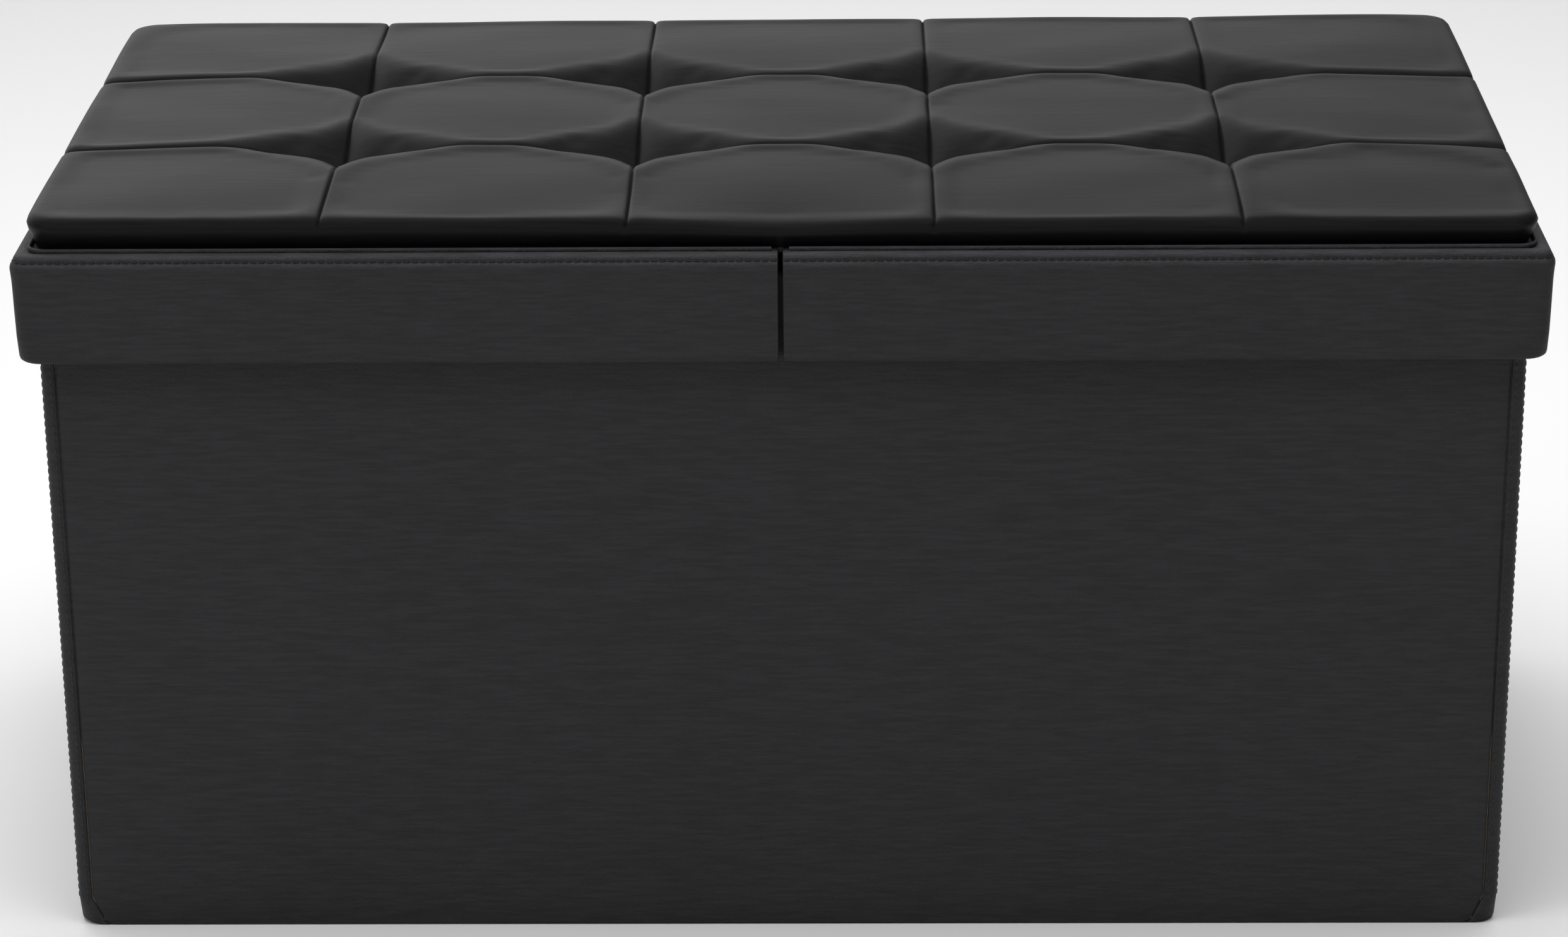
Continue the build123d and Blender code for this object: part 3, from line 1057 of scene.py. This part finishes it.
class BENCH_OT_tuft_knots(bpy.types.Operator):
    """Make the small thread bars that pull each tuft down"""

    bl_idname = "bench.tuft_knots"
    bl_label = "Tuft Knots"

    def execute(self, context):
        box, lid = context.scene.bench_box, context.scene.bench_lid
        z = LID_TOP + lid.crown - lid.tuft_drop - 0.7 * MM
        half_bar, spots = 2.6 * MM, (-1, -0.3, 0.3, 1)
        for hand, sign in HANDS.items():
            bars = []
            for share in (0.1, 0.3):
                for y in (-LID_Y / 3, LID_Y / 3):
                    x = sign * share * 2 * LID_X
                    for lean in (-0.5, 0.5):
                        bars.append([(x + t * half_bar, y + lean * t * MM, z) for t in spots])
            knots = stitches(f"tuft_knots_{hand}", bars, box, 2.4 * MM)
            ride_as(knots, f"lid_{hand}", "twine")
        return {"FINISHED"}


# ------------------------------------------------------------------ pull tab
class BENCH_OT_pull_tab(bpy.types.Operator):
    """Make the ribbon tab of the loose base board"""

    bl_idname = "bench.pull_tab"
    bl_label = "Pull Tab"

    def execute(self, context):
        sewn_low, sewn_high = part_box("pull_tab_sewn_end")
        free_low, free_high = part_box("pull_tab")
        base = sewn_low.z
        half = (free_high.x - free_low.x) / 2
        length = free_high.y - sewn_low.y
        rows, columns = 46, 13
        thick = 0.9 * MM
        points = []
        for layer in (1, 0):
            for i in range(rows):
                t = i / (rows - 1)
                y = sewn_low.y + t * length
                round_end = math.sqrt(max(0.0, 1 - max(0.0, (t - 0.9) / 0.1) ** 2 * 0.6))
                rise = 0.1 * MM + 0.25 * MM * math.sin(math.pi * t) * (t > 0.25)
                for j in range(columns):
                    s = 2 * j / (columns - 1) - 1
                    selvedge = 0.12 * MM * (abs(s) > 0.88) * layer
                    points.append((s * half * round_end, y, base + rise + layer * thick + selvedge))
        count = rows * columns
        faces = net_faces(rows, columns)
        faces += [tuple(count + k for k in f[::-1]) for f in net_faces(rows, columns)]
        rim = [*range(columns)] + [i * columns + columns - 1 for i in range(1, rows)]
        rim += [(rows - 1) * columns + j for j in range(columns - 2, -1, -1)]
        rim += [i * columns for i in range(rows - 2, 0, -1)]
        for a, b in zip(rim, rim[1:] + rim[:1]):
            faces.append((a, count + a, count + b, b))
        piece = outward(new_piece("ribbon_tab", points, faces, "ribbed_webbing"))
        sharpen(piece, 50)
        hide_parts("pull_tab_sewn_end", "pull_tab")
        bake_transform(piece)
        edge = 2.5 * MM
        low_y, high_y = sewn_low.y + edge, sewn_high.y - edge
        low_x, high_x = -half + edge, half - edge
        box = [(low_x, low_y), (high_x, low_y), (high_x, high_y), (low_x, high_y)]
        z = base + thick + 0.25 * MM
        sides = [[(*a, z), (*b, z)] for a, b in zip(box, box[1:] + box[:1])]
        sides += [[(*box[0], z), (*box[2], z)], [(*box[1], z), (*box[3], z)]]
        seam = stitches("tab_stitches", sides, context.scene.bench_box, 3.0 * MM)
        ride_as(seam, "base_board", "twine")
        return {"FINISHED"}


# ------------------------------------------------------------------ pieces kept from the model
class BENCH_OT_frame_finishes(bpy.types.Operator):
    """Give the boards, linings, tapes and small hardware of the model their finishes"""

    bl_idname = "bench.frame_finishes"
    bl_label = "Model Finishes"

    def execute(self, context):
        finishes = {
            "faux_leather": "grained_leather",
            "wall_board": "fibre_board",
            "foam": "non_woven_lining",
            "lining_fabric": "non_woven_lining",
            "webbing": "ribbed_webbing",
            "staple_steel": "zinc_wire",
            "washer_plastic": "moulded_plastic",
            "twine": "sewing_thread",
        }
        slots = {s["node"]: s["material_slot"] for s in frame["record"]["subparts"]}
        for name, node in frame["nodes"].items():
            node.data.materials.clear()
            node.data.materials.append(finish_named(finishes[slots[name]]))
        return {"FINISHED"}


# ------------------------------------------------------------------ stage
def area_light(name, place, aim, size, power):
    lamp = bpy.data.lights.new(name, "AREA")
    lamp.shape = "RECTANGLE"
    lamp.size, lamp.size_y = size
    lamp.energy = power
    light = bpy.data.objects.new(name, lamp)
    light.location = place
    light.rotation_euler = (Vector(aim) - Vector(place)).to_track_quat("-Z", "Y").to_euler()
    light.visible_camera = False
    bpy.context.scene.collection.objects.link(light)
    return light


class BENCH_OT_stage(bpy.types.Operator):
    """Make the pale floor, the soft lights and the camera"""

    bl_idname = "bench.stage"
    bl_label = "Stage"

    def execute(self, context):
        scene = context.scene
        scene.view_settings.view_transform = "Standard"
        reach = 30.0
        floor = new_piece(
            "floor",
            [(-reach, -reach, 0), (reach, -reach, 0), (reach, reach, 0), (-reach, reach, 0)],
            [(0, 1, 2, 3)],
            "grained_leather",
        )
        paint = Finish("pale_floor")
        paint.feed(Base_Color=(0.6, 0.6, 0.6, 1.0), Roughness=0.9)
        paint.shader.inputs["Specular IOR Level"].default_value = 0.1
        floor.data.materials[0] = paint.material
        floor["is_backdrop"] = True

        world = bpy.data.worlds.new("studio")
        scene.world = world
        world.use_nodes = True
        tree = world.node_tree
        link = tree.links.new
        path = tree.nodes.new("ShaderNodeLightPath")
        place = tree.nodes.new("ShaderNodeTexCoord")
        toward = tree.nodes.new("ShaderNodeVectorMath")
        toward.operation = "DOT_PRODUCT"
        toward.inputs[1].default_value = Vector((-0.5, 0.8, 0.33)).normalized()
        ramp = tree.nodes.new("ShaderNodeValToRGB")
        backdrop, dark, dim, bright = ((v, v, v, 1.0) for v in (0.95, 0.1, 0.28, 1.2))
        stops = ramp.color_ramp.elements
        stops[0].position, stops[0].color = 0.1, dark
        stops[1].position, stops[1].color = 0.95, bright
        stops.new(0.6).color = dim
        switch = tree.nodes.new("ShaderNodeMix")
        switch.data_type = "RGBA"
        switch.inputs[7].default_value = backdrop
        link(place.outputs["Generated"], toward.inputs[0])
        link(toward.outputs["Value"], ramp.inputs[0])
        link(path.outputs["Is Camera Ray"], switch.inputs[0])
        link(ramp.outputs[0], switch.inputs[6])
        link(switch.outputs[2], tree.nodes["Background"].inputs["Color"])

        lid_middle = (0.0, 0.0, 0.3)
        above = area_light("top_softbox", (0.0, 0.0, 3.2), (0.0, 0.0, 0.0), (3.2, 3.2), 185.0)
        side = area_light("side_softbox", (-2.1, -1.2, 1.9), lid_middle, (1.1, 0.8), 16.0)
        above.visible_glossy = side.visible_glossy = False
        sheen = area_light("front_sheen", (0.0, -3.2, 1.7), lid_middle, (8.5, 2.2), 50.0)
        sheen.visible_diffuse = False

        lens = bpy.data.cameras.new("camera")
        lens.lens = 100.25
        lens.sensor_width = 36.0
        camera = bpy.data.objects.new("camera", lens)
        pitch, yaw, roll = (math.radians(v) for v in (20.89, -0.925, -0.51))
        level = math.cos(pitch)
        ahead = Vector((math.sin(yaw) * level, math.cos(yaw) * level, -math.sin(pitch)))
        right = Vector((math.cos(yaw), -math.sin(yaw), 0.0))
        up = right.cross(ahead)
        tilted_right = right * math.cos(roll) + up * math.sin(roll)
        tilted_up = up * math.cos(roll) - right * math.sin(roll)
        turn = Matrix((tilted_right, tilted_up, -ahead)).transposed().to_4x4()
        camera.matrix_world = Matrix.Translation((0.034, -2.2385, 1.040)) @ turn
        scene.collection.objects.link(camera)
        scene.camera = camera
        return {"FINISHED"}


# ------------------------------------------------------------------ add-on
OPERATORS = (
    BENCH_OT_stage,
    BENCH_OT_frame_finishes,
    BENCH_OT_quilted_pad,
    BENCH_OT_lid_skirt,
    BENCH_OT_edge_welt,
    BENCH_OT_box_covers,
    BENCH_OT_corner_strips,
    BENCH_OT_stitching,
    BENCH_OT_tuft_knots,
    BENCH_OT_pull_tab,
)


class BENCH_PT_panel(bpy.types.Panel):
    """Lists the bench's settings and the operators that make its pieces"""

    bl_idname = "BENCH_PT_panel"
    bl_label = "Storage Bench"
    bl_space_type = "VIEW_3D"
    bl_region_type = "UI"
    bl_category = "Bench"

    def draw(self, context):
        scene = context.scene
        for group in (scene.bench_lid, scene.bench_box, scene.bench_finishes):
            column = self.layout.column(align=True)
            for name in group.bl_rna.properties.keys():
                if name not in ("rna_type", "name"):
                    column.prop(group, name)
        for operator in OPERATORS:
            self.layout.operator(operator.bl_idname)


GROUPS = {"bench_lid": BenchLidSizes, "bench_box": BenchBoxSizes, "bench_finishes": BenchFinishes}


def register():
    for name, group in GROUPS.items():
        bpy.utils.register_class(group)
        setattr(bpy.types.Scene, name, bpy.props.PointerProperty(type=group))
    for item in (*OPERATORS, BENCH_PT_panel):
        bpy.utils.register_class(item)


def unregister():
    for item in reversed((*OPERATORS, BENCH_PT_panel)):
        bpy.utils.unregister_class(item)
    for name, group in GROUPS.items():
        delattr(bpy.types.Scene, name)
        bpy.utils.unregister_class(group)


def main():
    register()
    for operator in OPERATORS:
        category, name = operator.bl_idname.split(".")
        getattr(getattr(bpy.ops, category), name)()
    boxes = {"cad": cad_bounds, "visual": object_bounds()}
    {name: [list(corner) for corner in pair] for name, pair in boxes.items()}


if __name__ == "__main__":
    main()
